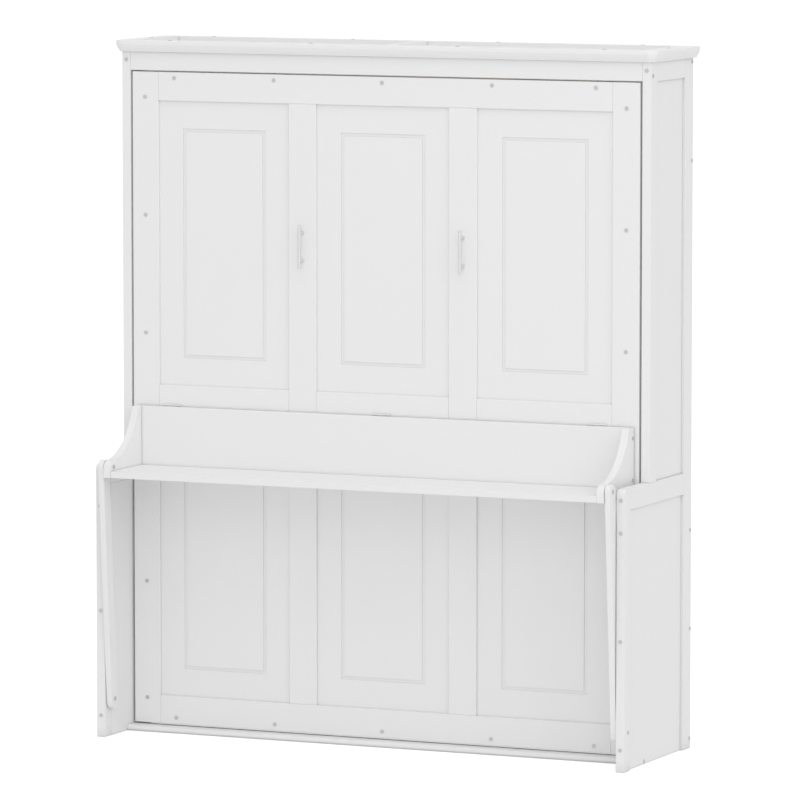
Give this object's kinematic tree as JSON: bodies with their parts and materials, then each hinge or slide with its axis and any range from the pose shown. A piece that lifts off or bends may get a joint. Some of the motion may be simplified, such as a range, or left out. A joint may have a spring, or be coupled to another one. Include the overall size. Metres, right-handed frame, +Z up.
{
  "type": "wall bed with fold down desk",
  "caption": "Upright cabinet wall bed whose panelled front folds down as the bed, with a shelf desk on the front that stays level as it swings down.",
  "frame": {"origin": "middle of the whole outline, on the floor", "axes": "+X to the right seen from the front, +Y to the wall, +Z up"},
  "size_m": [1.772, 0.574, 2.1125],
  "materials": {
    "painted_wood": "matte white paint",
    "bare_pine": "planed, unpainted",
    "zinc_steel": "zinc plated",
    "nickel_steel": "satin",
    "black_steel": "satin black"
  },
  "bodies": {
    "cabinet": {"rear_post_left": "painted_wood", "rear_post_right": "painted_wood", "upper_front_post_left": "painted_wood", "upper_front_post_right": "painted_wood", "lower_front_post_left": "painted_wood", "lower_front_post_right": "painted_wood", "top_side_rail_left": "painted_wood", "top_side_rail_right": "painted_wood", "mid_side_rail_left": "painted_wood", "mid_side_rail_right": "painted_wood", "upper_side_panel_left": "painted_wood", "upper_side_panel_right": "painted_wood", "lower_side_panel_left": "painted_wood", "lower_side_panel_right": "painted_wood", "header_rail": "painted_wood", "crown_front": "painted_wood", "crown_left": "painted_wood", "crown_right": "painted_wood", "top_rear_rail": "painted_wood", "top_cross_rail": "painted_wood", "top_panels": "painted_wood", "back_rails": "painted_wood", "toe_bar": "painted_wood", "case_bolts": "zinc_steel", "case_pivot_plates": "zinc_steel", "arm_pivot_bolts": "zinc_steel"},
    "bed": {"face_stile_left": "painted_wood", "face_stile_right": "painted_wood", "face_top_rail": "painted_wood", "face_bottom_rail": "painted_wood", "mullion_left": "painted_wood", "mullion_right": "painted_wood", "face_mid_rails": "painted_wood", "upper_panels": "painted_wood", "lower_panels": "painted_wood", "bed_side_rail_left": "painted_wood", "bed_side_rail_right": "painted_wood", "bed_head_rail": "painted_wood", "bed_foot_rail": "painted_wood", "slat_bearers": "bare_pine", "slats": "bare_pine", "handle_left": "nickel_steel", "handle_right": "nickel_steel", "face_bolts": "zinc_steel", "bed_pivot_plates": "zinc_steel", "hinge_bed_leaves": "zinc_steel"},
    "desk": {"desk_back_board": "painted_wood", "desk_shelf": "painted_wood", "desk_bracket_left": "painted_wood", "desk_bracket_right": "painted_wood", "hinge_desk_leaves": "zinc_steel", "desk_bolts": "zinc_steel"},
    "arm_left": {"arm_left": "painted_wood"},
    "arm_right": {"arm_right": "painted_wood"},
    "strut_cylinder_left": {"strut_cylinder_left": "black_steel"},
    "strut_cylinder_right": {"strut_cylinder_right": "black_steel"},
    "strut_rod_left": {"strut_rod_left": "nickel_steel"},
    "strut_rod_right": {"strut_rod_right": "nickel_steel"}
  },
  "joints": [
    {"name": "bed_fold", "type": "hinge", "parent": "cabinet", "child": "bed", "pos_m": [0, -0.0022, 0.288], "axis": [1, 0, 0], "range_deg": [0, 90], "stiffness_Nm_per_rad": 186, "springref_deg": -36.96},
    {"name": "desk_hinge", "type": "hinge", "parent": "bed", "child": "desk", "pos_m": [0, -0.0532, 1.003], "axis": [1, 0, 0], "range_deg": [-90, 0]},
    {"name": "arm_left_pivot", "type": "hinge", "parent": "cabinet", "child": "arm_left", "pos_m": [-0.826, -0.213, 0.116], "axis": [1, 0, 0], "range_deg": [0, 90]},
    {"name": "arm_right_pivot", "type": "hinge", "parent": "cabinet", "child": "arm_right", "pos_m": [0.826, -0.213, 0.116], "axis": [1, 0, 0], "range_deg": [0, 90]},
    {"name": "strut_cylinder_left_pivot", "type": "hinge", "parent": "cabinet", "child": "strut_cylinder_left", "pos_m": [-0.819, -0.00552, 0.47797], "axis": [1, 0, 0], "range_deg": [0, 45]},
    {"name": "strut_rod_left_pivot", "type": "hinge", "parent": "bed", "child": "strut_rod_left", "pos_m": [-0.819, 0.05651, 0.1073], "axis": [1, 0, 0], "range_deg": [-45, 0]},
    {"name": "strut_cylinder_right_pivot", "type": "hinge", "parent": "cabinet", "child": "strut_cylinder_right", "pos_m": [0.819, -0.00552, 0.47797], "axis": [1, 0, 0], "range_deg": [0, 45]},
    {"name": "strut_rod_right_pivot", "type": "hinge", "parent": "bed", "child": "strut_rod_right", "pos_m": [0.819, 0.05651, 0.1073], "axis": [1, 0, 0], "range_deg": [-45, 0]}
  ],
  "couplings": [
    {"joint": "desk_hinge", "follows": "bed_fold", "ratio": -1},
    {"joint": "arm_left_pivot", "follows": "bed_fold", "ratio": 1},
    {"joint": "arm_right_pivot", "follows": "bed_fold", "ratio": 1},
    {"joint": "strut_cylinder_left_pivot", "follows": "bed_fold", "ratio": 0.5},
    {"joint": "strut_rod_left_pivot", "follows": "bed_fold", "ratio": -0.5},
    {"joint": "strut_cylinder_right_pivot", "follows": "bed_fold", "ratio": 0.5},
    {"joint": "strut_rod_right_pivot", "follows": "bed_fold", "ratio": -0.5}
  ]
}
